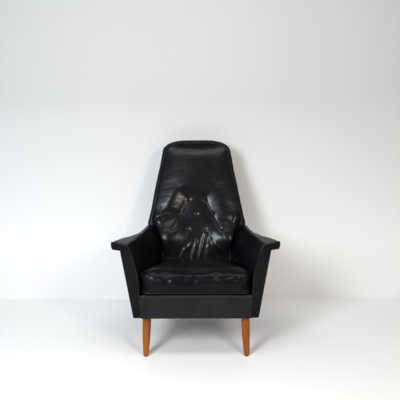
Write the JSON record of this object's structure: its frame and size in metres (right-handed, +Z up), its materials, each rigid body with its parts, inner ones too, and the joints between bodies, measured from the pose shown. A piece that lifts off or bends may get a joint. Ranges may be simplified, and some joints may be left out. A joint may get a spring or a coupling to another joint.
{
  "type": "high back lounge chair",
  "caption": "High back lounge chair: black leather, tufted tapering back, wing arms, loose seat cushion, turned teak legs on a sprung beech frame.",
  "frame": {"origin": "centre of the chair's bounding box in plan, at floor level", "axes": "+X to the right of someone facing the chair, +Y from its front to its back, +Z up"},
  "size_m": [0.7942, 0.78, 1.04],
  "materials": {
    "black_leather": "glossy aged black hide with fine creases, satin highlights",
    "apron_leather": "worn grey-black hide, smoother and duller than the rest",
    "teak": "oiled teak, warm orange brown, turned and smoothed",
    "beech": "plain unfinished beech of the hidden frame",
    "foam": "pale upholstery foam rubber",
    "webbing": "coarse jute webbing",
    "hessian": "thin black platform cloth, matt",
    "board": "stiff brown upholstery board",
    "spring_steel": "dark drawn spring wire",
    "hardware": "zinc plated steel",
    "twine": "waxed black upholstery twine",
    "glide_plastic": "dark nylon glide"
  },
  "bodies": {
    "chair": {"apron_board": "board", "arm_front_panel_left": "black_leather", "arm_front_panel_right": "black_leather", "arm_front_post_left": "beech", "arm_front_post_right": "beech", "arm_inner_board_left": "board", "arm_inner_board_right": "board", "arm_inner_pad_left": "black_leather", "arm_inner_pad_right": "black_leather", "arm_outer_panel_left": "black_leather", "arm_outer_panel_right": "black_leather", "arm_rear_post_left": "beech", "arm_rear_post_right": "beech", "arm_top_board_left": "beech", "arm_top_board_right": "beech", "armrest_pad_left": "black_leather", "armrest_pad_right": "black_leather", "back_border_left": "black_leather", "back_border_right": "black_leather", "back_border_top": "black_leather", "back_bottom_rail": "beech", "back_buttons": "black_leather", "back_middle_rail": "beech", "back_outer_panel": "black_leather", "back_pad": "black_leather", "back_stile_left": "beech", "back_stile_right": "beech", "back_top_rail": "beech", "back_webbing": "webbing", "button_ties": "twine", "corner_blocks": "beech", "dust_cover": "hessian", "frame_dowels": "beech", "front_apron": "apron_leather", "leg_bolts": "hardware", "leg_front_left": "teak", "leg_front_right": "teak", "leg_glides": "glide_plastic", "leg_rear_left": "teak", "leg_rear_right": "teak", "leg_tee_nuts": "hardware", "seat_back_rail": "beech", "seat_deck": "hessian", "seat_front_rail": "beech", "seat_side_rail_left": "beech", "seat_side_rail_right": "beech", "seat_springs": "spring_steel", "spring_clips": "hardware", "tie_washers": "hardware"},
    "seat_cushion": {"seat_cushion_cover": "black_leather", "seat_cushion_core": "foam"}
  },
  "joints": [
    {"name": "cushion_lift", "type": "slide", "parent": "chair", "child": "seat_cushion", "axis": [0, -0.866, 0.5], "range_m": [0, 0.62]}
  ]
}
